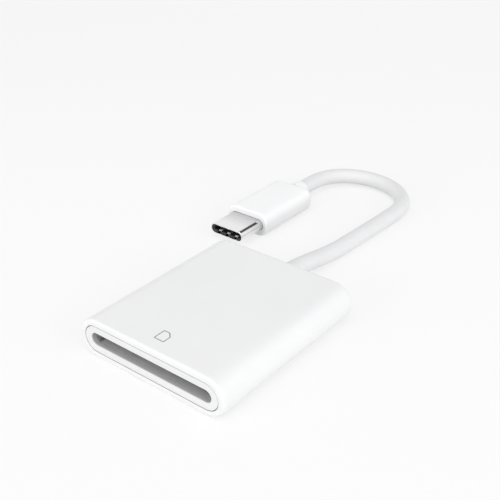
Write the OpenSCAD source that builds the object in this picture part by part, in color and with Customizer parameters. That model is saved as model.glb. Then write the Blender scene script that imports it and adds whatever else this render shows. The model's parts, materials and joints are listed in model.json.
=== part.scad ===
// Memory card reader: a flat rounded housing with a card slot at one end and, at the other,
// a short cord that turns back on itself and ends in a slim reversible plug.
// X runs across the slot, Y from the slot to the cord, and Z up from the table.

/* [Housing] */
// Width of the housing
housing_w = 30.8; // [30.4:0.1:34]
// Height of the housing
housing_h = 7.3; // [7.1:0.1:8.6]
// Length of the housing from the slot end to the cord end
housing_l = 35; // [34:0.5:42]
// Wall of the housing all round
wall = 1.1; // [0.8:0.05:1.2]
// Closed end that the cord passes through
end_wall = 1.3; // [0.9:0.1:2]
// Rounding of the open front rim
front_round = 0.45; // [0.2:0.05:0.7]
// Rounding of the closed rear end
rear_round = 1.3; // [0.5:0.1:2]

/* [Memory card] */
// Width of the card
card_w = 24; // [20:0.1:24.2]
// Thickness of the card
card_t = 2.1; // [1.4:0.1:2.2]
// How far the card goes in, measured from the front face
card_depth = 20; // [17:0.5:21]
// Cut corner of the card, measured along each side
card_cut = 3.6; // [2:0.2:4]

/* [Front bezel] */
// Thickness of the bezel
bezel_t = 1.5; // [1.2:0.1:2]
// Groove between the bezel and the housing
bezel_gap = 0.12; // [0.06:0.02:0.2]
// Rounding of the bezel's outer edge
bezel_round = 0.12; // [0.05:0.01:0.3]
// Room beside the card in the slot
slot_side_play = 0.8; // [0.7:0.05:1]
// Room over the card, and as much under it
slot_play = 0.1; // [0.05:0.05:0.2]
// Rounding of the slot's edge
slot_round = 0.2; // [0.05:0.05:0.4]
// Length of the dovetail tongues behind the bezel
tongue_l = 3; // [2:0.5:5]
// Width of a tongue where it leaves the bezel
tongue_w = 2.4; // [1.6:0.2:4]
// Distance of each tongue from the middle
tongue_x = 7; // [5:0.5:9]

/* [Board tray] */
// Room between the edge of the tray and the start of the housing's round sides
tray_side_gap = 0.2; // [0.1:0.05:0.5]
// Diameter of the pegs that hold the board
peg_d = 1.2; // [0.8:0.1:1.5]
// Distance of the pegs from the tray's front and rear edges
peg_inset = 1.3; // [1:0.1:2]
// Distance of the pegs from the middle
peg_x = 10.6; // [9:0.2:11]
// Width of the windows in the tray
window_w = 5; // [3:0.5:7]
// Length of the windows in the tray
window_l = 6; // [4:0.5:8]
// Width of the rib between the windows
window_rib = 5; // [2:0.5:8]
// Distance between the two rows of windows
window_pitch = 10.5; // [9:0.5:12]

/* [Circuit board] */
// Thickness of the board
board_t = 0.6; // [0.4:0.05:0.7]
// Room between the board's long edges and the round sides of the housing
board_side_gap = 0.25; // [0.15:0.05:0.6]
// Corner radius of the board
board_corner = 0.8; // [0.3:0.1:1.5]
// Room between the board and the bezel in front of it
board_front_gap = 0.3; // [0.1:0.05:0.5]
// Room between the board and the anchor behind it
board_rear_gap = 0.4; // [0.1:0.05:0.6]

/* [Card socket] */
// Room beside the card inside the socket
socket_play = 0.15; // [0.05:0.05:0.25]
// Side walls of the moulded base
socket_wall = 0.5; // [0.35:0.05:0.6]
// Floor of the moulded base
socket_floor = 0.3; // [0.2:0.05:0.4]
// End wall that stops the card
socket_end = 1; // [0.7:0.1:1.5]
// Depth that the socket plugs into the back of the bezel
socket_plug_in = 0.4; // [0.2:0.1:0.6]
// Sheet thickness of the steel cover
cover_t = 0.2; // [0.12:0.02:0.25]
// Length of the two sprung tongues in the cover
hold_l = 6; // [4:0.5:8]
// Width of the sprung tongues
hold_w = 2.2; // [1.5:0.1:3]
// Distance of the sprung tongues from the middle
hold_x = 6; // [4:0.5:8]
// Distance of their tips from the end of the socket
hold_setback = 7; // [6:0.5:8]
// How far their tips dip
hold_dip = 0.15; // [0.05:0.05:0.2]
// Length of each window for a switch in the left wall
switch_l = 3.6; // [3:0.1:4]
// Distance of the card switch from the stop
detect_setback = 4.6; // [4.4:0.1:5]
// Distance of the lock switch from the stop
protect_setback = 10.6; // [10.4:0.1:12]

/* [Card contacts] */
// Number of contact springs
contact_n = 9; // [7:1:9]
// Spacing of the contact springs
contact_pitch = 2.4; // [2:0.05:2.5]
// Width of a contact spring
contact_w = 0.8; // [0.5:0.05:1]
// Sheet thickness of a contact spring
contact_t = 0.15; // [0.1:0.01:0.2]
// Length of the opening in the floor for each spring
comb_l = 5.6; // [5:0.2:7]
// Height of the contact point above the floor
contact_rise = 0.45; // [0.3:0.05:0.6]
// Distance of the contact point from the stop
contact_reach = 3.4; // [3:0.1:3.6]
// Length of the tip past the contact point
contact_tip = 1; // [0.6:0.1:1.2]
// Length of the tail on the board
tail_l = 1; // [0.6:0.1:1.2]
// How far the row of contacts sits to the left of the middle
contact_offset = 0.8; // [0.4:0.1:1]

/* [Parts on the board] */
// Side of the square controller chip
controller_w = 5; // [4:0.25:5.5]
// Height of the controller chip
controller_h = 0.85; // [0.6:0.05:1.2]
// Width of the firmware chip
firmware_w = 3; // [2:0.25:3.5]
// Length of the firmware chip
firmware_l = 4; // [3:0.25:5]
// Height of the firmware chip
firmware_h = 0.75; // [0.5:0.05:1.2]
// Width of the voltage regulator's body
regulator_w = 1.6; // [1.2:0.1:2]
// Width of the crystal
crystal_w = 2.5; // [1.6:0.1:3]
// Length of the crystal
crystal_l = 3.2; // [2:0.1:4]
// Width of the small capacitors and resistors
chip_part_w = 0.5; // [0.3:0.05:0.6]
// Length of the small capacitors and resistors
chip_part_l = 1; // [0.8:0.05:1.1]
// Distance from one small part to the next in its column
chip_part_pitch = 1.3; // [1.2:0.05:1.5]
// Height of a capacitor
capacitor_h = 0.5; // [0.3:0.05:0.6]
// Height of a resistor
resistor_h = 0.35; // [0.25:0.05:0.4]
// Room between neighbours on the board
part_gap = 0.75; // [0.5:0.05:0.9]

/* [Cord] */
// Diameter of the cord
cord_d = 3.3; // [3:0.1:3.5]
// Collar of the anchor that shows round the cord
anchor_rim = 0.2; // [0.1:0.05:0.4]
// Length of the anchor inside the housing
anchor_l = 3.2; // [2:0.2:3.6]
// Number of cores soldered to the board
core_n = 6; // [4:1:8]
// Diameter of a core
core_d = 0.5; // [0.3:0.05:0.7]
// Spacing of the cores
core_pitch = 1.3; // [1.1:0.1:1.8]
// Length of core that shows in front of the anchor
core_reach = 1.8; // [1.5:0.1:2.2]

/* [Plug] */
// Width of the steel shell
shell_w = 8.25; // [8.1:0.05:8.5]
// Height of the steel shell
shell_h = 2.4; // [2.35:0.05:2.6]
// Length of the shell that shows
shell_l = 6.65; // [6.4:0.05:7]
// Wall of the steel shell
shell_wall = 0.25; // [0.2:0.01:0.27]
// Width of the moulded grip
grip_w = 10.1; // [9.9:0.1:12]
// Height of the moulded grip
grip_h = 5.1; // [4.9:0.1:6.5]
// Length of the moulded grip
grip_l = 16.6; // [14.6:0.2:18]
// Rounding of the grip's long edges
grip_side_round = 2.1; // [1.6:0.1:2.4]
// Rounding of the grip's front edge
grip_front_round = 0.35; // [0.1:0.05:0.8]
// Rounding of the grip's rear edge
grip_rear_round = 1.2; // [0.4:0.1:1.5]
// Length of the neck behind the grip
neck_l = 2.7; // [1:0.1:3.5]
// Diameter of the neck where it leaves the grip
neck_root_d = 4.5; // [4.2:0.1:5]
// Width of the opening for the mating tongue
mouth_w = 6.8; // [6.75:0.01:6.85]
// Height of the opening for the mating tongue
mouth_h = 0.9; // [0.8:0.02:0.96]
// Depth of the opening for the mating tongue
mouth_depth = 5.3; // [5:0.1:5.5]
// Number of contacts in each row
row_n = 12; // [8:1:12]
// Spacing of the contacts
row_pitch = 0.5; // [0.45:0.01:0.52]
// Width of a contact
row_w = 0.25; // [0.2:0.01:0.28]
// Sheet thickness of a contact
row_t = 0.13; // [0.1:0.01:0.15]
// Thickness of the plug's small board
plug_board_t = 0.6; // [0.4:0.05:0.7]
// Length of the plug's small board
plug_board_l = 5.6; // [4.5:0.1:6]

/* [Hidden] */
$fn = 48;
// Overlap of a cutting shape past the surface it cuts
over = 0.5;
// Clearance between pieces that are pushed together
fit = 0.05;

// Housing
mid_z = housing_h / 2;
front_y = -housing_l / 2;
rear_y = housing_l / 2;
cavity_w = housing_w - 2 * wall;
cavity_h = housing_h - 2 * wall;
cavity_y = rear_y - end_wall;
flat_w = housing_w - housing_h;

// Heights of the layers that carry the card
slot_w = card_w + 2 * slot_side_play;
slot_h = card_t + 2 * slot_play;
room_z = mid_z - slot_h / 2;
room_top = mid_z + slot_h / 2;
board_top = room_z - socket_floor;
board_z = board_top - board_t;
tray_t = board_z - wall;

// Half width of the cavity at a height above the table
function cavity_half(z) = flat_w / 2 + sqrt(pow(cavity_h / 2, 2) - pow(z - mid_z, 2));

// Places along the housing
bezel_back = front_y + bezel_t;
socket_y = bezel_back - socket_plug_in;
stop_y = front_y + card_depth;
socket_back = stop_y + socket_end;
board_y = bezel_back + board_front_gap;
anchor_y = cavity_y - anchor_l;
board_back = anchor_y - board_rear_gap;
core_end_y = anchor_y - core_reach;
solder_r = core_d / 2 + 0.2;
// Middle of the free board between the contact tails and the solder
bay_y = (socket_back + tail_l + core_end_y - solder_r) / 2;

// Half widths
socket_half = card_w / 2 + socket_play + socket_wall;
board_half = cavity_half(board_z) - board_side_gap;
tray_half = flat_w / 2 - tray_side_gap;

// Plug's place beside the cord, behind the housing
plug_x = -20;
plug_y = rear_y + 8;
plug_z = grip_h / 2;
// Cord route, with Y measured from the housing: down to the table, round and back to the plug
cord_y = rear_y;
route = [
    [0.05, 4.28, 3.38], [0.18, 8.53, 2.79], [0.36, 12.78, 2.14], [0.58, 17.05, 1.73],
    [0.81, 21.33, 1.7], [1.03, 25.62, 1.7], [1.22, 29.91, 1.7], [1.35, 34.21, 1.7],
    [1.4, 38.5, 1.7], [0.58, 42.6, 1.7], [-1.74, 46.07, 1.7], [-5.21, 48.39, 1.74],
    [-9.31, 49.2, 1.89], [-13.4, 48.38, 2.1], [-16.87, 46.07, 2.31], [-19.18, 42.6, 2.48],
    [-20, 38.5, 2.55]
];

// Plug, measured from its mouth back to the cord
shell_in_w = shell_w - 2 * shell_wall;
shell_in_h = shell_h - 2 * shell_wall;
// Rounding of the shell's front edge, and how far it goes into the grip
shell_lip = 0.12;
shell_buried = 3.2;
grip_y = shell_l;
grip_back = grip_y + grip_l;
neck_end_d = cord_d + 0.6;
// Insulator inside the shell, set back from its front edge
core_w = shell_in_w - 2 * fit;
core_h = shell_in_h - 2 * fit;
core_y = 0.35;
core_back = 8.6;
mouth_back = core_y + mouth_depth;
// Shield springs: a bar across the plug with fingers that reach forward into the mouth
spring_t = 0.1;
finger_n = 3;
finger_w = 0.7;
finger_pitch = 2.1;
finger_back = 2.7;
finger_bar = 0.7;
finger_bend = 0.3;
finger_touch = 0.9;
finger_tip = 0.55;
finger_gap = 0.08;
// Contact rows: start of their channels and height of the contacts in them
row_y = 3.1;
row_gap = 0.06;
row_z = mouth_h / 2 + row_t + 0.01;
// Latch plate: its outer edge, inner edge, hooks, bridge and back
latch_t = 0.24;
latch_wall = 0.165;
latch_out = core_w / 2 - latch_wall;
latch_in = mouth_w / 2 + 0.02;
latch_y = 2.7;
hook_w = 0.2;
hook_l = 1;
latch_bridge = 6.9;
latch_back = 8;
// Small board behind the shell
plug_board_y = shell_l + shell_buried + 0.15;
plug_board_back = plug_board_y + plug_board_l;
plug_board_w = 7.6;
plug_resistor_x = 2.6;
pad_reach = 1.4;
// Steel can round the board, and its barrel round the cord
can_t = 0.2;
can_w = shell_w + 2 * fit + 2 * can_t;
can_h = shell_h + 2 * fit + 2 * can_t;
can_round = 0.2;
can_y = 7.6;
can_back = plug_board_back + 0.5;
barrel_d = can_h - can_round;
barrel_back = can_back + 2.4;
// Cores on the small board
plug_core_d = 0.4;
plug_core_pitch = 0.7;
plug_core_lap = 1;

// Shared shapes

// A box given by its lowest and highest corners
module block(low, high) translate(low) cube(high - low);

// A half section carried round a long slot shape: straight over the flat middle, and turned
// about the middle of each round side. In the section x is the height above the middle plane
// and y is the place along the body.
module slot_sweep(flat) {
    translate([flat / 2, 0, 0]) rotate([0, -90, 0]) linear_extrude(flat) {
        children();
        mirror([1, 0]) children();
    }
    for (side = [0, 1]) mirror([side, 0, 0])
        translate([flat / 2, 0, 0]) rotate([-90, 0, 0]) rotate([0, 0, -90])
            rotate_extrude(angle = 180) children();
}

// What a rounded corner of radius r takes away
module corner_waste(r) {
    difference() {
        square(r + over);
        circle(r);
    }
}

// Half section with its outer corners rounded by r0 at the front and r1 at the rear
module side_section(reach, y0, y1, r0, r1) {
    difference() {
        translate([0, y0]) square([reach, y1 - y0]);
        if (r0 > 0) translate([reach - r0, y0 + r0]) mirror([0, 1]) corner_waste(r0);
        if (r1 > 0) translate([reach - r1, y1 - r1]) corner_waste(r1);
    }
}

// A bar with round sides, w wide and h high, from y0 to y1
module slot_bar(w, h, y0, y1, r0 = 0, r1 = 0) {
    slot_sweep(w - h) side_section(h / 2, y0, y1, r0, r1);
}

// A bar with flat sides, w wide and h high, its long edges rounded by r, from y0 to y1. A half
// section r deep runs along the four sides and turns a quarter round each long edge.
module box_bar(w, h, r, y0, y1, r0, r1) {
    half_w = w / 2 - r;
    half_h = h / 2 - r;
    block([-half_w, y0, -half_h], [half_w, y1, half_h]);
    for (side = [0, 1]) mirror([side, 0, 0]) translate([half_w, 0, -half_h])
        linear_extrude(2 * half_h) side_section(r, y0, y1, r0, r1);
    for (side = [0, 1]) mirror([0, 0, side]) translate([0, 0, half_h]) {
        translate([half_w, 0, 0]) rotate([0, -90, 0])
            linear_extrude(2 * half_w) side_section(r, y0, y1, r0, r1);
        for (end = [0, 1]) mirror([end, 0, 0]) translate([half_w, 0, 0])
            rotate([-90, 0, 0]) rotate([0, 0, -90])
                rotate_extrude(angle = 90) side_section(r, y0, y1, r0, r1);
    }
}

// A flat rounded plate outline centred on X
module rounded_rect(w, l, r) {
    difference() {
        translate([-w / 2, 0]) square([w, l]);
        for (sx = [0, 1]) mirror([sx, 0]) {
            translate([w / 2 - r, l - r]) corner_waste(r);
            translate([w / 2 - r, r]) mirror([0, 1]) corner_waste(r);
        }
    }
}

// A bent strip of sheet, t thick, along the points of a path
module strip(path, t) {
    for (i = [0 : len(path) - 2]) {
        step = path[i + 1] - path[i];
        translate(path[i]) rotate(atan2(step[1], step[0])) translate([0, -t / 2])
            square([norm(step), t]);
    }
    for (i = [1 : len(path) - 2]) translate(path[i]) circle(d = t);
}

// A strip drawn along Y and Z, w wide in X and centred on it
module strip_along(path, t, w) {
    translate([-w / 2, 0, 0]) rotate([90, 0, 90]) linear_extrude(w) strip(path, t);
}

// A round tube of the given radius that follows the points, with flat ends across end_a and end_b
function unit(v) = v / norm(v);
function heading(p, i, end_a, end_b) =
    i == 0 ? end_a : i == len(p) - 1 ? end_b : unit(p[i + 1] - p[i - 1]);
function ring(c, t, r, sides) =
    let (s = unit(cross(t, [0, 0, 1])), u = cross(s, t))
    [for (k = [0 : sides - 1]) c + r * (cos(360 * k / sides) * s + sin(360 * k / sides) * u)];
module swept_tube(p, r, sides, end_a, end_b) {
    n = len(p);
    points = [for (i = [0 : n - 1]) each ring(p[i], heading(p, i, end_a, end_b), r, sides)];
    walls = [for (i = [0 : n - 2], k = [0 : sides - 1])
        let (a = i * sides + k, b = i * sides + (k + 1) % sides) [a, b, b + sides, a + sides]];
    first = [for (k = [sides - 1 : -1 : 0]) k];
    last = [for (k = [0 : sides - 1]) (n - 1) * sides + k];
    polyhedron(points, concat(walls, [first, last]), convexity = 6);
}

// Housing and bezel

// One moulding, open at the card end and closed round the cord
module housing_sleeve() color("white") translate([0, 0, mid_z]) difference() {
    slot_bar(housing_w, housing_h, front_y, rear_y, front_round, rear_round);
    slot_bar(cavity_w, cavity_h, front_y - over, cavity_y);
    translate([0, cavity_y - over, 0]) rotate([-90, 0, 0])
        cylinder(h = end_wall + 2 * over, d = cord_d + 2 * anchor_rim + 2 * fit);
}

// Outline of a dovetail tongue, wider at its far end, grown by a clearance
module tongue_outline(grow) {
    flare = 0.3;
    polygon([[-tongue_w / 2 - grow, 0], [tongue_w / 2 + grow, 0],
        [tongue_w / 2 + flare + grow, tongue_l + grow],
        [-tongue_w / 2 - flare - grow, tongue_l + grow]]);
}

// Plate that fills the open end, with the slot through it
module front_bezel() color("whitesmoke") difference() {
    union() {
        translate([0, 0, mid_z])
            slot_bar(cavity_w - 2 * bezel_gap, cavity_h - 2 * bezel_gap, front_y, bezel_back,
                bezel_round);
        // Tongues that lock into the front edge of the tray
        for (side = [-1, 1]) translate([side * tongue_x, bezel_back - over, wall + bezel_gap])
            linear_extrude(tray_t - bezel_gap - fit) {
                translate([0, over]) tongue_outline(0);
                translate([-tongue_w / 2, 0]) square([tongue_w, over]);
            }
    }
    // Slot with a rounded edge
    translate([0, 0, mid_z]) slot_sweep(slot_w - slot_h) {
        translate([0, front_y - over]) square([slot_h / 2, bezel_t + 2 * over]);
        difference() {
            translate([0, front_y - over]) square([slot_h / 2 + slot_round, over + slot_round]);
            translate([slot_h / 2 + slot_round, front_y + slot_round]) circle(slot_round);
        }
    }
    // Recess that the socket's front end plugs into
    block([-socket_half - fit, socket_y - fit, board_top - fit],
        [socket_half + fit, bezel_back + over, room_top + fit]);
}

// Board and its tray

// Middle of the tray behind its tongue slots
window_mid = (board_y + tongue_l + board_back) / 2;
peg_places = [for (x = [-peg_x, peg_x], y = [board_y + peg_inset, board_back - peg_inset]) [x, y]];

// Plastic tray on the floor of the housing
module board_tray() color("gainsboro") {
    difference() {
        block([-tray_half, board_y, wall], [tray_half, board_back, board_z]);
        for (side = [-1, 1]) translate([side * tongue_x, bezel_back, wall - over])
            linear_extrude(tray_t + 2 * over) tongue_outline(fit);
        // Windows that keep the floor from warping
        for (sx = [-1, 1], sy = [-1, 1])
            translate([sx * (window_w + window_rib) / 2 - window_w / 2,
                window_mid + sy * window_pitch / 2 - window_l / 2, wall - over])
                cube([window_w, window_l, tray_t + 2 * over]);
    }
    for (p = peg_places) translate([p[0], p[1], board_z]) cylinder(h = board_t - fit, d = peg_d);
}

// Board with peg holes
module circuit_board() color("darkgreen") difference() {
    translate([0, board_y, board_z]) linear_extrude(board_t)
        rounded_rect(2 * board_half, board_back - board_y, board_corner);
    for (p = peg_places) translate([p[0], p[1], board_z - over])
        cylinder(h = board_t + 2 * over, d = peg_d + 2 * fit);
}

// Card socket

// Room beside a contact in its opening
contact_side_gap = 0.15;
// Height of the opening that lets a contact out at the back
tail_slot_h = 0.4;
// Flat root of a contact in front of the stop
contact_root = 0.5;
// Wall left over and under a switch window
switch_frame = 0.3;
// Sheet of a switch blade, and what it keeps from the window
switch_t = 0.12;
switch_inset = 0.2;
// Front of each switch window
switch_places = [stop_y - detect_setback, stop_y - protect_setback];
// Lower edge of the cover's sides
skirt_z = board_top + 0.4;
// Nubs on the base: one near the front and one between the two switch windows
nub_l = 1.6;
nub_h = 0.6;
nub_out = 0.12;
nub_places = [socket_y + 2, (switch_places[0] + switch_places[1] + switch_l - nub_l) / 2];
nub_z = (skirt_z + room_top) / 2;
cover_y = bezel_back + fit;
cover_top = room_top + cover_t;
// Inside radius of the cover's bends
cover_bend = 0.1;
foot_w = 1.5;
foot_inset = 1;
hold_places = [-hold_x, hold_x];
hold_gap = 0.25;
// Place of the contact points, and length of the slots over them
contact_y = stop_y - contact_reach;
sight_l = 1.4;
function contact_x(i) = (i - (contact_n - 1) / 2) * contact_pitch - contact_offset;

// Moulded base: floor, two side walls and the end wall that stops the card
module socket_base() color("gray") {
    difference() {
        union() {
            block([-socket_half, socket_y, board_top], [socket_half, socket_back, room_top]);
            // Nubs that the cover snaps over
            for (side = [0, 1], y = nub_places) mirror([side, 0, 0])
                block([socket_half - over / 2, y, nub_z - nub_h / 2],
                    [socket_half + nub_out, y + nub_l, nub_z + nub_h / 2]);
        }
        difference() {
            block([socket_wall - socket_half, socket_y - over, room_z],
                [socket_half - socket_wall, stop_y, room_top + over]);
            // Corner left standing for the card's cut corner
            translate([socket_half - socket_wall, stop_y, board_top])
                linear_extrude(room_top + over - board_top)
                polygon([[over, over], [-card_cut, over], [-card_cut, 0], [0, -card_cut],
                    [over, -card_cut]]);
        }
        for (i = [0 : contact_n - 1]) translate([contact_x(i), 0, 0]) {
            half = contact_w / 2 + contact_side_gap;
            block([-half, stop_y - comb_l, board_top - over], [half, stop_y, room_z + fit]);
            block([-half, stop_y - fit, board_top - over],
                [half, socket_back + over, board_top + tail_slot_h]);
        }
        // Windows in the left wall for the two switches
        for (y = switch_places)
            block([-socket_half - over, y, room_z + switch_frame],
                [socket_wall - socket_half + over, y + switch_l, room_top - switch_frame]);
    }
}

// Steel cover folded down over both sides of the base
module socket_cover() color("silver") {
    hold_y = socket_back - hold_setback - hold_l;
    difference() {
        union() {
            translate([0, socket_back, 0]) rotate([90, 0, 0])
                linear_extrude(socket_back - cover_y) difference() {
                    translate([-socket_half - cover_t, skirt_z])
                        square([2 * (socket_half + cover_t), cover_top - skirt_z]);
                    for (side = [0, 1]) mirror([side, 0])
                        translate([socket_half - cover_bend, room_top - cover_bend])
                            corner_waste(cover_t + cover_bend);
                    translate([-socket_half, skirt_z - over])
                        square([2 * socket_half, room_top - skirt_z + over]);
                }
            // Feet that stand on the board
            for (side = [0, 1], y = [cover_y + foot_inset, socket_back - foot_inset - foot_w])
                mirror([side, 0, 0])
                block([socket_half, y, board_top], [socket_half + cover_t, y + foot_w, mid_z]);
        }
        // Windows for the nubs of the base
        for (side = [0, 1], y = nub_places) mirror([side, 0, 0])
            block([socket_half - over, y - fit, nub_z - nub_h / 2 - fit],
                [socket_half + over, y + nub_l + fit, nub_z + nub_h / 2 + fit]);
        // Openings round the sprung tongues
        for (x = hold_places)
            block([x - hold_w / 2 - hold_gap, hold_y, room_top - over],
                [x + hold_w / 2 + hold_gap, hold_y + hold_l + hold_gap, cover_top + over]);
        // Slots over the contact points
        for (x = [-contact_pitch * 3, contact_pitch * 2])
            block([x - contact_pitch, contact_y - sight_l / 2, room_top - over],
                [x + contact_pitch, contact_y + sight_l / 2, cover_top + over]);
    }
    // Sprung tongues that press on the card
    for (x = hold_places) translate([x, 0, 0]) {
        z = room_top + cover_t / 2;
        strip_along([[hold_y - over, z], [hold_y, z], [hold_y + hold_l - 1, z - hold_dip],
            [hold_y + hold_l, z - hold_dip / 2]], cover_t, hold_w);
    }
}

// Spring contacts, each with its tail on the board behind the socket
module card_contacts() color("goldenrod") for (i = [0 : contact_n - 1]) {
    z = board_top + contact_t / 2;
    translate([contact_x(i), 0, 0]) strip_along([
        [socket_back + tail_l, z], [stop_y - contact_root, z],
        [contact_y, room_z + contact_rise - contact_t / 2],
        [contact_y - contact_tip, room_z + contact_rise / 3]], contact_t, contact_w);
}

// Two blades in a window of the socket's left wall: a fixed one outside and a bowed one inside
module switch_blades(y) {
    fixed_x = switch_t / 2 + fit / 2 - socket_half;
    free_x = fixed_x + 2 * switch_t - fit;
    translate([0, 0, room_z + switch_frame + switch_inset])
        linear_extrude(slot_h - 2 * (switch_frame + switch_inset)) {
            translate([fixed_x - switch_t / 2, y + switch_inset / 2])
                square([switch_t, switch_l - switch_inset]);
            strip([[free_x, y + switch_inset], [-card_w / 2, y + switch_l / 2],
                [free_x, y + switch_l - 2 * switch_inset]], switch_t);
        }
}
// Switch that feels the card at the end of its travel
module detect_switch() color("goldenrod") switch_blades(switch_places[0]);
// Switch that feels the card's locking tab
module protect_switch() color("goldenrod") switch_blades(switch_places[1]);

// Parts on the board behind the socket, in one row across it

// The regulator's legs reach this far out on each side
lead_l = 0.6;
regulator_span = regulator_w + 2 * lead_l;
row_widths = [crystal_w, chip_part_w, controller_w, chip_part_w, firmware_w, chip_part_w,
    regulator_span, chip_part_w, chip_part_w];
function row_sum(n) = n == 0 ? 0 : row_sum(n - 1) + row_widths[n - 1] + part_gap;
row_total = row_sum(len(row_widths)) - part_gap;
function part_x(i) = row_sum(i) + row_widths[i] / 2 - row_total / 2;

// Flat chip with pads that show along two or four of its sides
module pad_chip(w, l, h, pads, pitch, four) {
    pad_w = 0.25;
    pad_t = 0.1;
    dot_d = 0.5;
    dot_inset = 0.8;
    difference() {
        translate([-w / 2, -l / 2, 0]) cube([w, l, h]);
        translate([dot_inset - w / 2, dot_inset - l / 2, h - fit]) cylinder(h = over, d = dot_d);
    }
    for (side = [0, 1], k = [0 : pads - 1]) mirror([side, 0, 0])
        translate([w / 2 - pad_t, (k - (pads - 1) / 2) * pitch - pad_w / 2, 0])
            cube([2 * pad_t, pad_w, 2 * pad_t]);
    if (four) for (side = [0, 1], k = [0 : pads - 1]) mirror([0, side, 0])
        translate([(k - (pads - 1) / 2) * pitch - pad_w / 2, l / 2 - pad_t, 0])
            cube([pad_w, 2 * pad_t, 2 * pad_t]);
}

module on_board(i, dy = 0) translate([part_x(i), bay_y + dy, board_top]) children();

module controller_chip() color("dimgray")
    on_board(2) pad_chip(controller_w, controller_w, controller_h, 7, controller_w / 8, true);

module firmware_chip() color("dimgray")
    on_board(4) pad_chip(firmware_w, firmware_l, firmware_h, 4, firmware_l / 5, false);

// Ceramic package with a metal lid
module crystal() color("lightsteelblue") on_board(0) {
    base_h = 0.4;
    lid_h = 0.3;
    lid_inset = 0.2;
    translate([-crystal_w / 2, -crystal_l / 2, 0]) cube([crystal_w, crystal_l, base_h]);
    translate([lid_inset - crystal_w / 2, lid_inset - crystal_l / 2, base_h - fit])
        cube([crystal_w - 2 * lid_inset, crystal_l - 2 * lid_inset, lid_h + fit]);
}

// Small body with five bent legs
module voltage_regulator() color("dimgray") on_board(6) {
    body_l = 2.9;
    body_h = 1;
    lift = 0.1;
    lead_t = 0.12;
    lead_w = 0.4;
    lead_z = body_h / 2;
    translate([-regulator_w / 2, -body_l / 2, lift]) cube([regulator_w, body_l, body_h]);
    for (y = [-body_l / 3, 0, body_l / 3], side = y == 0 ? [0] : [0, 1]) mirror([side, 0, 0])
        translate([0, y + lead_w / 2, 0]) rotate([90, 0, 0]) linear_extrude(lead_w)
            strip([[regulator_w / 2 - lift, lead_z], [regulator_w / 2 + lead_l / 3, lead_z],
                [regulator_w / 2 + lead_l / 2, lead_t / 2], [regulator_span / 2, lead_t / 2]],
                lead_t);
}

// Ceramic chip part with its two metal ends
module chip_part(h) {
    end_l = 0.22;
    skin = 0.02;
    translate([skin - chip_part_w / 2, end_l - chip_part_l / 2, 0])
        cube([chip_part_w - 2 * skin, chip_part_l - 2 * end_l, h - skin]);
    for (side = [0, 1]) mirror([0, side, 0])
        translate([-chip_part_w / 2, chip_part_l / 2 - end_l - fit, 0])
            cube([chip_part_w, end_l + fit, h]);
}
chip_part_rows = [for (k = [-1.5 : 1 : 1.5]) k * chip_part_pitch];
module chip_capacitors() color("tan")
    for (i = [1, 3, 5], y = chip_part_rows) on_board(i, y) chip_part(capacitor_h);
module chip_resistors() color("black")
    for (i = [7, 8], y = chip_part_rows) on_board(i, y) chip_part(resistor_h);

// Cord and its anchor

// Block moulded on the end of the cord, held between the end wall and the board, with a collar
// that fills the hole in the end wall
module cord_anchor() color("whitesmoke") translate([0, 0, mid_z]) {
    slot_bar(cavity_h + core_n * core_pitch, cavity_h - 2 * fit, anchor_y, cavity_y - fit,
        anchor_round, 0);
    translate([0, cavity_y - over, 0]) rotate([-90, 0, 0])
        cylinder(h = end_wall + over, d = cord_d + 2 * anchor_rim);
}

// Rounding of the anchor's inner end
anchor_round = 0.4;
function core_x(i) = (i - (core_n - 1) / 2) * core_pitch;
// Cores that come out of the anchor and bend down to the board
module cord_cores() color("firebrick") for (i = [0 : core_n - 1]) {
    low = board_top + (core_d + fit) / 2;
    bend = core_reach * 0.7;
    x = core_x(i);
    swept_tube(concat([for (t = [0 : 0.25 : 1])
        [x, anchor_y - t * bend, low + (mid_z - low) * (1 + cos(180 * t)) / 2]],
        [[x, core_end_y, low]]), core_d / 2, 8, [0, -1, 0], [0, -1, 0]);
}

// Half domes of solder against the ends of the cores
module core_solder() color("lightgray") for (i = [0 : core_n - 1]) {
    translate([core_x(i), core_end_y, board_top]) intersection() {
        sphere(solder_r);
        block([-solder_r, -solder_r, 0], [solder_r, 0, solder_r]);
    }
}

module cord() color("whitesmoke") swept_tube(
    concat([[0, cord_y, mid_z]], [for (p = route) p + [0, cord_y, 0]],
        [[plug_x, plug_y + grip_back + neck_l, plug_z]]),
    cord_d / 2, 8, [0, 1, 0], [0, -1, 0]);

// Plug, with its mouth at its own origin and the cord behind it

module at_plug() translate([plug_x, plug_y, plug_z]) children();

// White moulding that is held between finger and thumb
module plug_grip() color("white") at_plug() difference() {
    union() {
        box_bar(grip_w, grip_h, grip_side_round, grip_y, grip_back, grip_front_round,
            grip_rear_round);
        translate([0, grip_back - fit, 0]) rotate([-90, 0, 0])
            cylinder(h = neck_l + fit, d1 = neck_root_d, d2 = neck_end_d);
    }
    slot_bar(shell_w + 2 * fit, shell_h + 2 * fit, grip_y - over, can_y + fit);
    slot_bar(can_w + 2 * fit, can_h + 2 * fit, can_y - fit, can_back + fit);
    translate([0, can_back, 0]) rotate([-90, 0, 0])
        cylinder(h = barrel_back + fit - can_back, d = barrel_d + 2 * fit);
}

// Drawn steel shell
module plug_shell() color("silver") at_plug() difference() {
    slot_bar(shell_w, shell_h, 0, shell_l + shell_buried, shell_lip, 0);
    slot_bar(shell_in_w, shell_in_h, -over, shell_l + shell_buried + over);
}

function row_x(i) = (i - (row_n - 1) / 2) * row_pitch;
function finger_x(i) = (i - (finger_n - 1) / 2) * finger_pitch;
spring_half = finger_x(finger_n - 1) + finger_w / 2 + 0.2;

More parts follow.
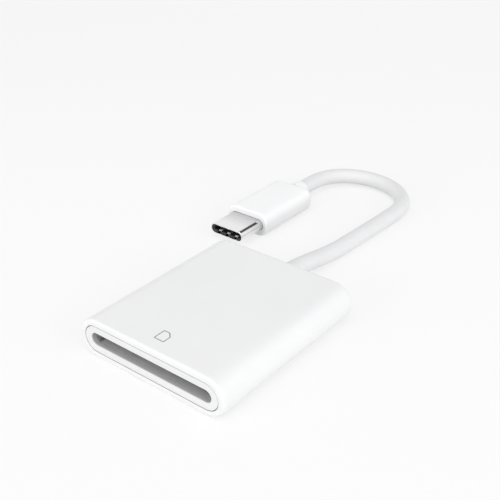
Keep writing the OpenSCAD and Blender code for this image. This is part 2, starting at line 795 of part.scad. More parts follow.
// Black insulator: opening for the mating tongue, a channel for each contact, a pocket for the
// latch, and windows for the shield springs
module plug_insulator() color("black") at_plug() difference() {
    slot_bar(core_w, core_h, core_y, core_back);
    block([-mouth_w / 2, core_y - over, -mouth_h / 2], [mouth_w / 2, mouth_back, mouth_h / 2]);
    block([-latch_out - fit, latch_y - fit, -latch_t / 2 - fit],
        [latch_out + fit, latch_back + fit, latch_t / 2 + fit]);
    for (side = [0, 1]) mirror([0, 0, side]) {
        for (i = [0 : row_n - 1])
            block([row_x(i) - row_w / 2 - row_gap, row_y, mouth_h / 2 - fit],
                [row_x(i) + row_w / 2 + row_gap, core_back + over, row_z + row_t / 2 + row_gap]);
        for (i = [0 : finger_n - 1])
            block([finger_x(i) - finger_w / 2 - finger_gap, core_y - over, mouth_h / 2 - fit],
                [finger_x(i) + finger_w / 2 + finger_gap, finger_back - finger_bar,
                    core_h / 2 + over]);
        block([-spring_half - fit, finger_back - finger_bar - finger_bend,
            core_h / 2 - spring_t - fit], [spring_half + fit, finger_back + fit, core_h / 2 + over]);
    }
}

// One row of contacts: sprung tips that look into the mouth and flat tails on the small board
module contact_row() {
    tip = row_y + 0.25;
    crest = tip + 0.55;
    seat = crest + 1.4;
    pad_z = (plug_board_t + row_t) / 2;
    for (i = [0 : row_n - 1]) translate([row_x(i), 0, 0]) strip_along([
        [tip, row_z - row_t / 4], [crest, mouth_h / 2 - row_t / 4], [seat, row_z],
        [core_back + 3 * fit, row_z], [plug_board_y - latch_wall * 2, pad_z],
        [plug_board_y + pad_reach, pad_z]], row_t, row_w);
}
module plug_contacts_upper() color("gold") at_plug() contact_row();
module plug_contacts_lower() color("gold") at_plug() mirror([0, 0, 1]) contact_row();

// Middle plate: a bridge and two arms with hooks that grip the sides of the mating tongue
module plug_latch() color("lightgray") at_plug()
    translate([0, 0, -latch_t / 2]) linear_extrude(latch_t)
        polygon(concat(latch_side, [for (i = [len(latch_side) - 1 : -1 : 0])
            [-latch_side[i][0], latch_side[i][1]]]));
latch_side = [[latch_out, latch_back], [latch_out, latch_y], [latch_in, latch_y],
    [latch_in - hook_w, latch_y + hook_l * 0.35], [latch_in - hook_w, latch_y + hook_l * 0.6],
    [latch_in, latch_y + hook_l], [latch_in, latch_bridge]];

// Thin shield springs over and under the mouth, each a bar with three fingers
module plug_shield_springs() color("silver") at_plug()
    for (side = [0, 1]) mirror([0, 0, side]) {
        top = core_h / 2;
        block([-spring_half, finger_back - finger_bar, top - spring_t],
            [spring_half, finger_back, top]);
        for (i = [0 : finger_n - 1]) translate([finger_x(i), 0, 0]) strip_along([
            [finger_back - finger_bar / 2, top - spring_t / 2],
            [finger_back - finger_bar - spring_t, top - spring_t / 2],
            [finger_touch, mouth_h / 2], [finger_tip, mouth_h / 2 + spring_t]], spring_t, finger_w);
    }

module plug_board() color("darkgreen") at_plug()
    block([-plug_board_w / 2, plug_board_y, -plug_board_t / 2],
        [plug_board_w / 2, plug_board_back, plug_board_t / 2]);

// Steel can over the board, with a barrel that is crimped on the cord's screen
module plug_can() color("silver") at_plug() difference() {
    union() {
        slot_bar(can_w, can_h, can_y, can_back, 0, can_round);
        translate([0, can_back - can_t, 0]) rotate([-90, 0, 0])
            cylinder(h = barrel_back + can_t - can_back, d = barrel_d);
    }
    slot_bar(can_w - 2 * can_t, can_h - 2 * can_t, can_y - over, can_back - can_t);
    translate([0, can_back - over, 0]) rotate([-90, 0, 0])
        cylinder(h = barrel_back + 2 * over - can_back, d = barrel_d - 2 * can_t);
}

// Cores that lie on both faces of the small board
module plug_cores() color("firebrick") at_plug()
    for (x = [-plug_core_pitch, 0, plug_core_pitch], side = [-1, 1])
        translate([x, plug_board_back - plug_core_lap, side * (plug_board_t + plug_core_d) / 2])
            rotate([-90, 0, 0])
                cylinder(h = barrel_back - plug_board_back + plug_core_lap, d = plug_core_d);

module plug_resistors() color("black") at_plug()
    for (x = [-plug_resistor_x, plug_resistor_x])
        translate([x, plug_board_y + plug_board_l / 2, plug_board_t / 2]) chip_part(resistor_h);

housing_sleeve();
front_bezel();
board_tray();
circuit_board();
socket_base();
socket_cover();
card_contacts();
detect_switch();
protect_switch();
controller_chip();
firmware_chip();
voltage_regulator();
crystal();
chip_capacitors();
chip_resistors();
cord_anchor();
cord_cores();
core_solder();
cord();
plug_grip();
plug_shell();
plug_insulator();
plug_contacts_upper();
plug_contacts_lower();
plug_latch();
plug_shield_springs();
plug_board();
plug_can();
plug_cores();
plug_resistors();
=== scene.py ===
import json
import math

import bpy
from mathutils import Matrix, Vector


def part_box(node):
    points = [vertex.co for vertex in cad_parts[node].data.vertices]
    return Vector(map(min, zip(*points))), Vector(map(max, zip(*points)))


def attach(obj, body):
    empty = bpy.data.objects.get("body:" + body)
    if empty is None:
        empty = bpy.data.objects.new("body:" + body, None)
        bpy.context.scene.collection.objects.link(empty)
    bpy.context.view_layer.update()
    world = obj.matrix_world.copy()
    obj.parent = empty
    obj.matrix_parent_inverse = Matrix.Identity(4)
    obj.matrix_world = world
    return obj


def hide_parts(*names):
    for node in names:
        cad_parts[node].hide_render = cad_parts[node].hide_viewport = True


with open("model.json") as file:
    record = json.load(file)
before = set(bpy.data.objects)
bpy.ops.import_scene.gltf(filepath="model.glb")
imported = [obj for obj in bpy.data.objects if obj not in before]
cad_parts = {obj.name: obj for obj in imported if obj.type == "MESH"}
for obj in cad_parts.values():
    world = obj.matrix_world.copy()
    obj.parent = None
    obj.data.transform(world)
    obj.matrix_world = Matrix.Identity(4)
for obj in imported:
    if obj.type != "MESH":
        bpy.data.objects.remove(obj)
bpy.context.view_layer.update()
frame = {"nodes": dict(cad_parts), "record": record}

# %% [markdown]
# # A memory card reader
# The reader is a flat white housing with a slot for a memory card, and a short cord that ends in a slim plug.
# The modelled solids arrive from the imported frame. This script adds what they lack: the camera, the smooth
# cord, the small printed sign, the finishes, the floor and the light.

MM = 0.001
nodes = frame["nodes"]
print("pieces from the frame:", len(nodes))

# %% [markdown]
# ## Camera
# The photograph looks down on the reader from the front right. Its place and lens were found by matching the
# edges of the slot, the groove and the housing. A camera that stands as the real one did makes every later
# comparison fair: a difference in the picture is then a difference in the object.

# %% Camera
CAMERA_PLACE = Vector((80.14, -92.97, 85.67)) * MM
CAMERA_RIGHT = Vector((0.7835, 0.6214, -0.001))
CAMERA_UP = Vector((-0.3039, 0.3846, 0.8716))
CAMERA_FORWARD = Vector((-0.542, 0.6826, -0.4902))
LENS_MM = 62.7
SENSOR_MM = 36.0
NEAREST_M = 0.005
FARTHEST_M = 20

camera_data = bpy.data.cameras.new("camera")
camera_data.lens = LENS_MM
camera_data.sensor_width = SENSOR_MM
camera_data.clip_start = NEAREST_M
camera_data.clip_end = FARTHEST_M
camera = bpy.data.objects.new("camera", camera_data)
bpy.context.scene.collection.objects.link(camera)
axes = Matrix((CAMERA_RIGHT.normalized(), CAMERA_UP.normalized(), -CAMERA_FORWARD.normalized()))
camera.matrix_world = Matrix.Translation(CAMERA_PLACE) @ axes.transposed().to_4x4()
bpy.context.scene.camera = camera
print("camera at", [round(v / MM, 1) for v in camera.location], "lens", LENS_MM)

# %% [markdown]
# ## Finishes
# White plastic is never one flat white. A moulding has a fine, soft waviness that breaks up its highlights,
# a very slight change of tone where the wall cools more slowly, and tiny differences in gloss. A picture
# could carry all this, but it would have to be wrapped round every piece. Each finish below is made from
# noise in the object's own coordinates instead, so it keeps its real scale and needs no picture. The helper
# holds what all finishes share, and each finish then states only its own tone, gloss and grain.

# %% Finish helper
COAT_ROUGHNESS = 0.3
SOFT_DEPTH = 1 * MM
RELIEF_DEPTH = 0.05 * MM
SMOOTHEST = 0.02
TONE_RANGE = (0.3, 0.7)
TONE_DETAIL, GLOSS_DETAIL, RELIEF_DETAIL = 2, 3, 4


def finish(name, base, rough, metallic=0.0, tone=0.03, tone_mm=6.0, gloss=0.05, gloss_mm=2.5,
           bump=0.02, bump_mm=0.6, coat=0.0, stretch=(1, 1, 1), subsurface=0.0):
    """A material whose tone, gloss and relief vary with noise of the given sizes in millimetres."""
    material = bpy.data.materials.new(name)
    material.use_nodes = True
    tree = material.node_tree
    shader = tree.nodes["Principled BSDF"]
    shader.inputs["Metallic"].default_value = metallic
    shader.inputs["Coat Weight"].default_value = coat
    shader.inputs["Coat Roughness"].default_value = COAT_ROUGHNESS
    shader.inputs["Subsurface Weight"].default_value = subsurface
    shader.inputs["Subsurface Scale"].default_value = SOFT_DEPTH
    where = tree.nodes.new("ShaderNodeTexCoord")
    mapping = tree.nodes.new("ShaderNodeMapping")
    mapping.inputs["Scale"].default_value = stretch
    tree.links.new(where.outputs["Object"], mapping.inputs["Vector"])

    def noise(size_mm, detail):
        node = tree.nodes.new("ShaderNodeTexNoise")
        node.inputs["Scale"].default_value = 1 / (size_mm * MM)
        node.inputs["Detail"].default_value = detail
        tree.links.new(mapping.outputs["Vector"], node.inputs["Vector"])
        return node.outputs["Fac"]

    ramp = tree.nodes.new("ShaderNodeValToRGB")
    for element, place, share in zip(ramp.color_ramp.elements, TONE_RANGE, (1 - tone, 1 + tone)):
        element.position = place
        element.color = (*[min(1, c * share) for c in base], 1)
    tree.links.new(noise(tone_mm, TONE_DETAIL), ramp.inputs["Fac"])
    tree.links.new(ramp.outputs["Color"], shader.inputs["Base Color"])

    spread = tree.nodes.new("ShaderNodeMapRange")
    spread.inputs["To Min"].default_value = max(SMOOTHEST, rough - gloss)
    spread.inputs["To Max"].default_value = rough + gloss
    tree.links.new(noise(gloss_mm, GLOSS_DETAIL), spread.inputs["Value"])
    tree.links.new(spread.outputs["Result"], shader.inputs["Roughness"])

    relief = tree.nodes.new("ShaderNodeBump")
    relief.inputs["Strength"].default_value = bump
    relief.inputs["Distance"].default_value = RELIEF_DEPTH
    tree.links.new(noise(bump_mm, RELIEF_DETAIL), relief.inputs["Height"])
    tree.links.new(relief.outputs["Normal"], shader.inputs["Normal"])
    return material


# %% [markdown]
# ### White outside
# The housing, the inset faceplate, the cord's jacket and the plug's grip are all white, and each is another
# white: the housing is smooth and slightly glossy, the faceplate is satin, the jacket is soft and a shade
# greyer, and the grip is the brightest. One shared white would be simpler, but the photograph shows where one
# piece ends and the next begins only by these small steps.

# %% White finishes
finishes = {
    "housing_white": finish("moulded_white", (0.83, 0.83, 0.834), 0.32, tone=0.008, tone_mm=9,
                            gloss=0.03, bump=0.03, bump_mm=0.5, coat=0.08),
    "bezel_white": finish("satin_white", (0.78, 0.78, 0.784), 0.42, tone=0.01, tone_mm=7,
                          gloss=0.04, bump=0.05, bump_mm=0.35),
    "cord_white": finish("soft_jacket", (0.76, 0.76, 0.765), 0.48, tone=0.012, tone_mm=5,
                         gloss=0.04, bump=0.06, bump_mm=0.25, subsurface=0.05),
    "grip_white": finish("grip_moulding", (0.93, 0.93, 0.935), 0.3, tone=0.008, tone_mm=6,
                         gloss=0.03, bump=0.03, bump_mm=0.4, coat=0.08),
}
print("white finishes:", len(finishes))

# %% [markdown]
# ### Plain materials inside
# The board, the inner mouldings, the chips and the wires are seen through the slot or the plug's mouth at
# most. They still get the grain of the real material at its real size, because the part may be opened up or
# looked at from near by.

# %% Inner finishes
finishes.update({
    "tray_plastic": finish("grey_moulding", (0.42, 0.42, 0.43), 0.5, bump=0.08, bump_mm=0.3),
    "board_laminate": finish("green_laminate", (0.015, 0.11, 0.045), 0.35, tone=0.15, tone_mm=1.2,
                             bump=0.1, bump_mm=0.15, coat=0.3),
    "socket_grey": finish("grey_socket_moulding", (0.60, 0.60, 0.605), 0.5, tone=0.06, tone_mm=2,
                          bump=0.1, bump_mm=0.12),
    "plug_black": finish("black_moulding", (0.02, 0.02, 0.022), 0.4, tone=0.15, tone_mm=1,
                         bump=0.1, bump_mm=0.1),
    "chip_black": finish("chip_package", (0.03, 0.03, 0.032), 0.55, tone=0.1, tone_mm=0.4,
                         bump=0.2, bump_mm=0.08),
    "ceramic_tan": finish("fired_ceramic", (0.42, 0.30, 0.18), 0.5, tone=0.08, tone_mm=0.3,
                          bump=0.15, bump_mm=0.08),
    "anchor_white": finish("soft_moulding", (0.80, 0.80, 0.80), 0.5, tone=0.01, bump=0.05, bump_mm=0.3),
    "core_red": finish("wire_insulation", (0.45, 0.03, 0.03), 0.4, tone=0.08, tone_mm=0.5,
                       bump=0.05, bump_mm=0.1),
})
print("with the inner finishes:", len(finishes))

# %% [markdown]
# ### Metals
# The plug's shell is drawn steel, polished enough to mirror its surroundings. The socket's cover is folded
# from rolled sheet. In both, the grain runs one way, so the noise is stretched or squeezed along one axis.
# The contacts are plated with gold. The small springs at the plug's mouth are nickel plated; their finish is
# brighter than nickel and only half metal, a painted highlight that stands in for the light they catch from
# all round.

# %% Metal finishes
finishes.update({
    "sheet_steel": finish("folded_steel", (0.56, 0.56, 0.57), 0.3, metallic=1, tone=0.06, tone_mm=1.2,
                          gloss=0.08, gloss_mm=0.5, bump=0.1, bump_mm=0.25, stretch=(1, 6, 1)),
    "contact_gold": finish("gold_plate", (0.80, 0.58, 0.24), 0.24, metallic=1, tone=0.05, tone_mm=0.6,
                           bump=0.06, bump_mm=0.1),
    "solder": finish("solder_metal", (0.66, 0.66, 0.67), 0.28, metallic=1, tone=0.06, tone_mm=0.2,
                     bump=0.15, bump_mm=0.08),
    "shell_steel": finish("drawn_steel", (0.86, 0.86, 0.865), 0.14, metallic=1, tone=0.03, tone_mm=1.5,
                          gloss=0.03, gloss_mm=0.4, bump=0.03, bump_mm=0.3, stretch=(1, 0.15, 1)),
})
# painted highlight: the springs' finish is brighter than nickel and only half metal
spring_painted_bright_finish = finish("nickel_painted_bright", (0.92, 0.92, 0.92), 0.45, metallic=0.5, tone=0.03, tone_mm=0.4,
                       bump=0.03, bump_mm=0.1)
print("with the metals:", len(finishes))

# %% [markdown]
# ## Painted shade that falls with depth
# Four places are darker in the photograph than an even finish would make them: the walls of the slot and of
# the fine groove round the faceplate, the floor and the side walls deep in the socket, the steel shell next
# to the grip, and the grip's lower sides. Each gets painted shade, and on the steel a painted reflection of
# shade: a smooth fall of the base colour along one axis of the piece, or towards the walls that face up or
# down and away from its middle, so it stays on the piece from every side.

# %% Tone helpers
SIDEWAYS_SHARE = 0.04


def smooth_change(tree, value, start, end, before, after):
    """The number before up to the start of a range, the number after past its end, and smooth between."""
    node = tree.nodes.new("ShaderNodeMapRange")
    node.interpolation_type = "SMOOTHSTEP"
    node.inputs["From Min"].default_value = start
    node.inputs["From Max"].default_value = end
    node.inputs["To Min"].default_value = before
    node.inputs["To Max"].default_value = after
    tree.links.new(value, node.inputs["Value"])
    return node.outputs["Result"]


def scale_tone(tree, factor):
    """Multiplies a finish's base colour by a factor."""
    base = tree.nodes["Principled BSDF"].inputs["Base Color"]
    scale = tree.nodes.new("ShaderNodeVectorMath")
    scale.operation = "SCALE"
    tree.links.new(base.links[0].from_socket, scale.inputs[0])
    tree.links.new(factor, scale.inputs["Scale"])
    tree.links.new(scale.outputs["Vector"], base)


def paint_shade_along(material, axis, start, end, share):
    """Paints shade by letting the base colour fall to a share along an axis, between two places in
    millimetres.
    """
    tree = material.node_tree
    where = tree.nodes.new("ShaderNodeTexCoord")
    split = tree.nodes.new("ShaderNodeSeparateXYZ")
    tree.links.new(where.outputs["Object"], split.inputs["Vector"])
    scale_tone(tree, smooth_change(tree, split.outputs[axis], start * MM, end * MM, 1, share))


def paint_shade_outward(material, height, start, end, share):
    """Paints shade by letting the base colour fall to a share on walls that face away from the middle line at
    a height, in mm.
    """
    tree = material.node_tree
    where = tree.nodes.new("ShaderNodeTexCoord")
    shift = tree.nodes.new("ShaderNodeVectorMath")
    shift.operation = "MULTIPLY_ADD"
    shift.inputs[1].default_value = (SIDEWAYS_SHARE, 0, 1)
    shift.inputs[2].default_value = (0, 0, -height * MM)
    facing = tree.nodes.new("ShaderNodeNewGeometry")
    along = tree.nodes.new("ShaderNodeVectorMath")
    along.operation = "DOT_PRODUCT"
    tree.links.new(where.outputs["Object"], shift.inputs[0])
    tree.links.new(shift.outputs["Vector"], along.inputs[0])
    tree.links.new(facing.outputs["Normal"], along.inputs[1])
    scale_tone(tree, smooth_change(tree, along.outputs["Value"], start * MM, end * MM, 1, share))


# %% [markdown]
# ### Slot and socket
# The faceplate's painted shade falls within its first third of a millimetre, so its front stays bright and
# only its walls darken. The socket's painted shade falls to the sides just where a card's edges would run,
# and backwards past its front edge. Real light would reach these places only after many bounces off pieces
# that aren't known, so the painted shade stands in for them.

# %% Painted shade in slot and socket
CARD_HALF = 24 / 2
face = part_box("front_bezel")[0][1] / MM
middle = (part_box("front_bezel")[0][2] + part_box("front_bezel")[1][2]) / 2 / MM
socket_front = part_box("socket_base")[0][1] / MM
# painted shade on the walls of the slot and of the groove round the faceplate
paint_shade_along(finishes["bezel_white"], "Y", start=face, end=face + 0.3, share=0.66)
paint_shade_outward(finishes["bezel_white"], middle, start=0.8, end=2.2, share=0.7)
# painted shade deep in the socket, towards its sides and its back
for side in (-1, 1):
    paint_shade_along(finishes["socket_grey"], "X", start=side * (CARD_HALF - 0.3), end=side * (CARD_HALF + 0.3),
               share=0.35)
paint_shade_along(finishes["socket_grey"], "Y", start=socket_front + 0.7, end=socket_front + 2.2, share=0.7)
print("faceplate at", round(face, 2), "mm, its middle at", round(middle, 2), "mm")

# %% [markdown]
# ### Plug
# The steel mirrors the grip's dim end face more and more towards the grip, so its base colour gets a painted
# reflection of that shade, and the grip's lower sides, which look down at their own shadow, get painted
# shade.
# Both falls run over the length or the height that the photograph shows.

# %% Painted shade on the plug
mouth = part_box("plug_shell")[0][1] / MM
grip_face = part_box("plug_grip")[0][1] / MM
grip_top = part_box("plug_grip")[1][2] / MM
# painted reflection of the grip's shaded face on the steel, then painted shade on the grip's lower sides
paint_shade_along(finishes["shell_steel"], "Y", start=mouth + 1, end=grip_face - 0.15, share=0.72)
paint_shade_along(finishes["grip_white"], "Z", start=grip_top - 0.1, end=grip_top - 2.9, share=0.82)
print("shell from", round(mouth, 2), "to the grip at", round(grip_face, 2), "mm")

# %% [markdown]
# ### Each finish on its pieces
# The record that comes with the frame names the material of every piece, so a loop dresses them all and none
# can be forgotten. Only the springs at the plug's mouth get a finish of their own, with a painted highlight.

# %% Finishes on their pieces
for row in frame["record"]["subparts"]:
    piece = nodes[row["node"]]
    piece.data.materials.clear()
    piece.data.materials.append(finishes[row["material_slot"]])
nodes["plug_shield_springs"].data.materials[0] = spring_painted_bright_finish

# %% [markdown]
# ## Trees that draw from a line
# The cord and the printed sign both follow a line. Their surfaces could be written out point by point, but a
# tree of Geometry Nodes keeps the rule itself: change the line or a size and the piece is drawn again. These
# helpers start a tree with named sizes, make a line for it, and run it to get one plain mesh.

# %% Tree helpers
KINDS = {float: "NodeSocketFloat", int: "NodeSocketInt"}


def new_tree(name, sizes):
    """A Geometry Nodes tree that has the given sizes as named inputs, with its first and last node."""
    tree = bpy.data.node_groups.new(name, "GeometryNodeTree")
    tree.interface.new_socket("Line", in_out="INPUT", socket_type="NodeSocketGeometry")
    tree.interface.new_socket("Piece", in_out="OUTPUT", socket_type="NodeSocketGeometry")
    for size, value in sizes.items():
        tree.interface.new_socket(size, in_out="INPUT", socket_type=KINDS[type(value)])
    return tree, tree.nodes.new("NodeGroupInput"), tree.nodes.new("NodeGroupOutput")


def line_mesh(name, rings, closed):
    """A mesh of edges only: each ring is a chain of points, closed or open."""
    points, edges = [], []
    for ring in rings:
        first = len(points)
        points += ring
        edges += [(first + i, first + i + 1) for i in range(len(ring) - 1)]
        if closed:
            edges.append((first + len(ring) - 1, first))
    mesh = bpy.data.meshes.new(name)
    mesh.from_pydata(points, edges, [])
    return mesh


def drawn(name, mesh, tree, sizes):
    """The plain mesh object that a tree draws along the lines of a mesh."""
    draft = bpy.data.objects.new(name + "_draft", mesh)
    bpy.context.scene.collection.objects.link(draft)
    modifier = draft.modifiers.new("draw", "NODES")
    modifier.node_group = tree
    for socket in tree.interface.items_tree:
        if socket.name in sizes:
            modifier[socket.identifier] = sizes[socket.name]
    result = draft.evaluated_get(bpy.context.evaluated_depsgraph_get())
    piece = bpy.data.objects.new(name, bpy.data.meshes.new_from_object(result))
    draft.modifiers.remove(modifier)
    bpy.data.objects.remove(draft)
    bpy.context.scene.collection.objects.link(piece)
    return piece


# %% [markdown]
# ## Cord
# A cord has a real length and lies under its own weight. This one leaves the middle of the rear, comes down
# to the table in a few diameters and turns back in one easy curve to its plug, which lies beside it. In the
# photograph it holds the plug up in the air, and lying on the table it keeps the same length. Its route is a
# list of given points, and a smooth line through them is its centre.

# %% Cord line
CORD_D = 3.3 * MM
CORD_ROUTE_MM = [
    (0, 17.5, 3.65), (0.05, 21.78, 3.38), (0.18, 26.03, 2.79), (0.36, 30.28, 2.14), (0.58, 34.55, 1.73),
    (0.81, 38.83, 1.7), (1.03, 43.12, 1.7), (1.22, 47.41, 1.7), (1.35, 51.71, 1.7), (1.4, 56, 1.7),
    (0.58, 60.1, 1.7), (-1.74, 63.57, 1.7), (-5.21, 65.89, 1.74), (-9.31, 66.7, 1.89),
    (-13.4, 65.88, 2.1), (-16.87, 63.57, 2.31), (-19.18, 60.1, 2.48), (-20, 56, 2.55), (-20, 51.45, 2.55),
]
CORD_START = Vector((0, 1, 0))
CORD_END = Vector((0, -1, 0))


def smooth_route(points, start, end, steps=10):
    """Points of a smooth curve through the given ones, with the given headings at its ends."""
    points = [Vector(p) for p in points]
    slopes = [(points[i + 1] - points[i - 1]) / 2 for i in range(1, len(points) - 1)]
    slopes.insert(0, start * (points[1] - points[0]).length)
    slopes.append(end * (points[-1] - points[-2]).length)
    line = []
    for a, b, m, n in zip(points, points[1:], slopes, slopes[1:]):
        for k in range(steps):
            t = k / steps
            line.append(a * (2 * t**3 - 3 * t**2 + 1) + m * (t**3 - 2 * t**2 + t)
                        + b * (3 * t**2 - 2 * t**3) + n * (t**3 - t**2))
    line.append(points[-1])
    return line


cord_line = [p * MM for p in smooth_route(CORD_ROUTE_MM, CORD_START, CORD_END)]

# %% [markdown]
# ### The cord's jacket
# The jacket is a round skin of soft plastic, equally thick all the way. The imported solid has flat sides,
# which would show as facets. A curve object with a bevel would be round too, but it has to become a mesh
# anyway. So the tree sweeps a circle along the line, closes both ends and shades the skin smoothly.

# %% Cord jacket
jacket_sizes = {"Diameter": CORD_D, "Sides": 28}
tree, first, last = new_tree("draw_jacket", jacket_sizes)
link = tree.links.new
line = tree.nodes.new("GeometryNodeMeshToCurve")
half = tree.nodes.new("ShaderNodeMath")
half.operation = "DIVIDE"
half.inputs[1].default_value = 2
ring = tree.nodes.new("GeometryNodeCurvePrimitiveCircle")
sweep = tree.nodes.new("GeometryNodeCurveToMesh")
sweep.inputs["Fill Caps"].default_value = True
smooth = tree.nodes.new("GeometryNodeSetShadeSmooth")
real = tree.nodes.new("GeometryNodeRealizeInstances")
cover = tree.nodes.new("GeometryNodeSetMaterial")
cover.inputs["Material"].default_value = finishes["cord_white"]
link(first.outputs["Line"], line.inputs["Mesh"])
link(first.outputs["Diameter"], half.inputs[0])
link(half.outputs["Value"], ring.inputs["Radius"])
link(first.outputs["Sides"], ring.inputs["Resolution"])
link(line.outputs["Curve"], sweep.inputs["Curve"])
link(ring.outputs["Curve"], sweep.inputs["Profile Curve"])
link(sweep.outputs["Mesh"], smooth.inputs["Geometry"])
link(smooth.outputs["Geometry"], real.inputs["Geometry"])
link(real.outputs["Geometry"], cover.inputs["Geometry"])
link(cover.outputs["Geometry"], last.inputs["Piece"])
cord = drawn("cord_jacket", line_mesh("cord_line", [cord_line], closed=False), tree, jacket_sizes)
print("jacket faces:", len(cord.data.polygons))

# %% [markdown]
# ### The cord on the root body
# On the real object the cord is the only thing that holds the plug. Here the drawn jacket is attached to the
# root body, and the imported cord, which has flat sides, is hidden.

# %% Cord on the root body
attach(cord, "root")
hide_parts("cord")

# %% [markdown]
# ## The printed sign
# A small grey outline of a card is printed on top, just behind the slot, to show which way a card goes in. It
# is pad-printed on the real moulding, so it has almost no thickness. It could be painted in the housing's
# finish, but a thin closed film of its own stays sharp at any distance and catches the light as ink does. Its
# corners were read from the photograph and carried onto the plane of the housing's top.

# %% Sign outline
SIGN_W = 2.1
SIGN_FRONT = -14.93
SIGN_BACK = -12.42
SIGN_CUT = 0.85
SIGN_LINE = 0.16
SIGN_THICK = 0.008
HOUSING_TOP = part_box("housing_sleeve")[1][2]


def sign_corners(inset):
    """The sign's outline, drawn in by an inset, from its front left corner round to its front right."""
    half, cut = SIGN_W / 2 - inset, SIGN_CUT - inset * (2 - math.sqrt(2))
    flat = [(-half, SIGN_FRONT + inset), (-half, SIGN_BACK - inset), (half - cut, SIGN_BACK - inset),
            (half, SIGN_BACK - inset - cut), (half, SIGN_FRONT + inset)]
    return [Vector((x * MM, y * MM, 0)) for x, y in flat]


print("sign in mm:", SIGN_W, "by", round(SIGN_BACK - SIGN_FRONT, 2), "line", SIGN_LINE)

# %% [markdown]
# ### The film of ink
# Two flat outlines are filled to a ring, which is raised by the film's thickness and closed below by a turned
# copy of itself. The tree that fills them works at height zero, so the last step lifts the film onto the
# housing. A film that is closed all round has no open edge for light to slip under.

# %% Sign film
ink = finish("sign_ink", (0.20, 0.20, 0.21), 0.6, tone=0.08, tone_mm=0.3, bump=0.1, bump_mm=0.1)
sign_sizes = {"Thickness": SIGN_THICK * MM, "Height": HOUSING_TOP}
tree, first, last = new_tree("draw_sign", sign_sizes)
link = tree.links.new
line = tree.nodes.new("GeometryNodeMeshToCurve")
fill = tree.nodes.new("GeometryNodeFillCurve")
raised = tree.nodes.new("GeometryNodeExtrudeMesh")
under = tree.nodes.new("GeometryNodeFlipFaces")
both = tree.nodes.new("GeometryNodeJoinGeometry")
closed = tree.nodes.new("GeometryNodeMergeByDistance")
closed.inputs["Distance"].default_value = SIGN_THICK * MM / 4
up = tree.nodes.new("ShaderNodeCombineXYZ")
lift = tree.nodes.new("GeometryNodeSetPosition")
real = tree.nodes.new("GeometryNodeRealizeInstances")
cover = tree.nodes.new("GeometryNodeSetMaterial")
cover.inputs["Material"].default_value = ink
link(first.outputs["Line"], line.inputs["Mesh"])
link(line.outputs["Curve"], fill.inputs["Curve"])
link(fill.outputs["Mesh"], raised.inputs["Mesh"])
link(first.outputs["Thickness"], raised.inputs["Offset Scale"])
link(fill.outputs["Mesh"], under.inputs["Mesh"])
link(raised.outputs["Mesh"], both.inputs["Geometry"])
link(under.outputs["Mesh"], both.inputs["Geometry"])
link(both.outputs["Geometry"], closed.inputs["Geometry"])
link(first.outputs["Height"], up.inputs["Z"])
link(closed.outputs["Geometry"], lift.inputs["Geometry"])
link(up.outputs["Vector"], lift.inputs["Offset"])
link(lift.outputs["Geometry"], real.inputs["Geometry"])
link(real.outputs["Geometry"], cover.inputs["Geometry"])
link(cover.outputs["Geometry"], last.inputs["Piece"])
rings = line_mesh("sign_lines", [sign_corners(0), sign_corners(SIGN_LINE)], closed=True)
sign = drawn("card_sign", rings, tree, sign_sizes)
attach(sign, "root")
heights = [v.co.z / MM for v in sign.data.vertices]
print("sign faces:", len(sign.data.polygons))
print("sign from", round(min(heights), 3), "to", round(max(heights), 3), "mm")

# %% [markdown]
# ## Floor
# The photograph has a plain white ground. More light would make any floor white, but it would wash out the
# object too. So the floor sends light back to the object as a pale matt board does, while the rays that come
# from the camera or off a reflection find a board that glows softly by itself. A Light Path node tells the
# two kinds of ray apart, and the background uses the same helper.

# %% Rays that look


def looking(tree):
    """1 for a ray from the camera or off a reflection, and 0 for light on its way to a surface."""
    path = tree.nodes.new("ShaderNodeLightPath")
    result = path.outputs["Is Camera Ray"]
    for other in ("Is Glossy Ray", "Is Transmission Ray"):
        either = tree.nodes.new("ShaderNodeMath")
        either.operation = "MAXIMUM"
        tree.links.new(result, either.inputs[0])
        tree.links.new(path.outputs[other], either.inputs[1])
        result = either.outputs["Value"]
    return result


# %% [markdown]
# ### The floor's own glow
# A board that glows stays near white all over, and it still shows the object's shadow, as faint as in the
# photograph. Farther off, where the lamps no longer reach, it glows a little more, so that it runs into the
# background almost without a seam. The glow grows with the distance from a place in front of the object.

# %% Floor finish
FLOOR_TONE = 0.85
FLOOR_SEEN_TONE = 0.30
GLOW_NEAR, GLOW_FAR = 0.665, 0.77
GLOW_NEAR_M, GLOW_FAR_M = 0.40, 0.95
GLOW_CENTRE = (0.05, -0.3, 0)

floor_finish = finish("floor_white", (FLOOR_TONE, FLOOR_TONE, FLOOR_TONE), 0.7, tone=0.004, tone_mm=60,
                      bump=0.01, bump_mm=5)
floor_finish.cycles.emission_sampling = "NONE"
tree = floor_finish.node_tree
shader = tree.nodes["Principled BSDF"]
shader.inputs["Specular IOR Level"].default_value = 0
shader.inputs["Emission Color"].default_value = (1, 1, 1, 1)
look = looking(tree)
scale_tone(tree, smooth_change(tree, look, 0, 1, 1, FLOOR_SEEN_TONE / FLOOR_TONE))
where = tree.nodes.new("ShaderNodeTexCoord")
distance = tree.nodes.new("ShaderNodeVectorMath")
distance.operation = "DISTANCE"
distance.inputs[1].default_value = GLOW_CENTRE
tree.links.new(where.outputs["Object"], distance.inputs[0])
full_glow = smooth_change(tree, distance.outputs["Value"], GLOW_NEAR_M, GLOW_FAR_M, GLOW_NEAR, GLOW_FAR)
glow = tree.nodes.new("ShaderNodeMath")
glow.operation = "MULTIPLY"
tree.links.new(look, glow.inputs[0])
tree.links.new(full_glow, glow.inputs[1])
tree.links.new(glow.outputs["Value"], shader.inputs["Emission Strength"])
print("floor glow:", GLOW_NEAR, "near and", GLOW_FAR, "far")

# %% Floor
FLOOR_M = 6

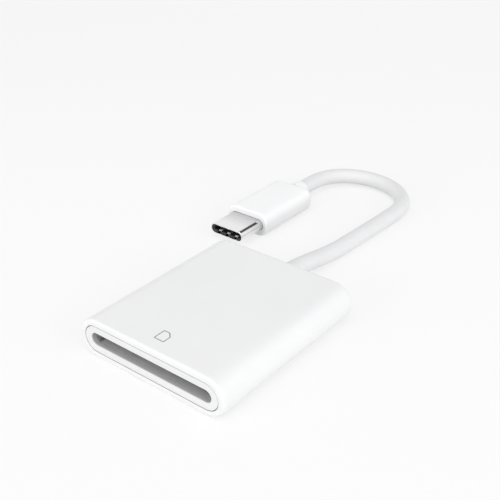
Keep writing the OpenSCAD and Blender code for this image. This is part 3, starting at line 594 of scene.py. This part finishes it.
bpy.ops.mesh.primitive_plane_add(size=FLOOR_M, location=(0, 0, 0))
floor = bpy.context.object
floor.name = "floor"
floor.data.materials.append(floor_finish)
print("floor in m:", round(floor.dimensions.x, 2), "by", round(floor.dimensions.y, 2))

# %% [markdown]
# ## Background
# The background is made as the floor is: one brightness for the light that falls on the object, and another,
# near white, for the rays that look at it. A soft dark flag stands high behind the object, as it does in a
# studio: the bright steel mirrors it as the thin dark line that shows where its side turns down.

# %% Background
WORLD_LIGHT = (0.93, 0.935, 0.94)
WORLD_STRENGTH = 0.72
BACKDROP = 0.97
FLAG_TOWARD = (0.03, 0.68, 0.73)
FLAG_INNER, FLAG_OUTER = 14, 24
FLAG_LEFT = 0.1

world = bpy.data.worlds.new("background")
world.use_nodes = True
bpy.context.scene.world = world
tree = world.node_tree
link = tree.links.new
light = tree.nodes["Background"]
light.inputs["Color"].default_value = (*WORLD_LIGHT, 1)
seen = tree.nodes.new("ShaderNodeBackground")
seen.inputs["Color"].default_value = (BACKDROP, BACKDROP, BACKDROP, 1)
around = tree.nodes.new("ShaderNodeTexCoord")
toward = tree.nodes.new("ShaderNodeVectorMath")
toward.operation = "DOT_PRODUCT"
toward.inputs[1].default_value = FLAG_TOWARD
link(around.outputs["Generated"], toward.inputs[0])
outer_edge = math.cos(math.radians(FLAG_OUTER))
inner_edge = math.cos(math.radians(FLAG_INNER))
flag = smooth_change(tree, toward.outputs["Value"], outer_edge, inner_edge, 1, FLAG_LEFT)
dimmed = tree.nodes.new("ShaderNodeMath")
dimmed.operation = "MULTIPLY"
dimmed.inputs[1].default_value = WORLD_STRENGTH
choose = tree.nodes.new("ShaderNodeMixShader")
link(flag, seen.inputs["Strength"])
link(flag, dimmed.inputs[0])
link(dimmed.outputs["Value"], light.inputs["Strength"])
link(looking(tree), choose.inputs["Fac"])
link(light.outputs["Background"], choose.inputs[1])
link(seen.outputs["Background"], choose.inputs[2])
link(choose.outputs["Shader"], tree.nodes["World Output"].inputs["Surface"])
print("background:", WORLD_STRENGTH, "as light and", BACKDROP, "as seen")

# %% [markdown]
# ## Lamps
# Soft light from above and in front shapes the pale object, and large area lamps give soft shadows. The two
# that stand low only lift the side and the slot. A grid narrows their light, so that little of it falls on
# the floor around, and they leave no mirror image, which would burn out the white top seen from behind. The
# camera sees no lamp. Their powers were found by rendering each lamp alone and fitting the sum to the greys
# of the photograph.

# %% Lamps
CENTRE = (-0.004, 0.015, 0.003)


def soft_lamp(name, place, size, power, spread=180, mirrored=True):
    """A square soft lamp at a place in metres that faces the object, with its spread in degrees."""
    data = bpy.data.lights.new(name, "AREA")
    data.size = size
    data.energy = power
    data.spread = math.radians(spread)
    lamp = bpy.data.objects.new(name, data)
    bpy.context.scene.collection.objects.link(lamp)
    lamp.location = place
    lamp.rotation_mode = "QUATERNION"
    lamp.rotation_quaternion = (Vector(CENTRE) - Vector(place)).to_track_quat("-Z", "Y")
    lamp.visible_camera = False
    lamp.visible_glossy = mirrored
    print("lamp", name, "at", place, "with", power, "W")


soft_lamp("key", place=(0.10, -0.20, 0.45), size=0.45, power=0.80)
soft_lamp("fill", place=(0.45, 0.02, 0.16), size=0.40, power=0.24, spread=80, mirrored=False)
soft_lamp("low", place=(-0.15, -0.50, 0.12), size=0.30, power=0.19, spread=80, mirrored=False)
bpy.context.scene.view_settings.view_transform = "Standard"
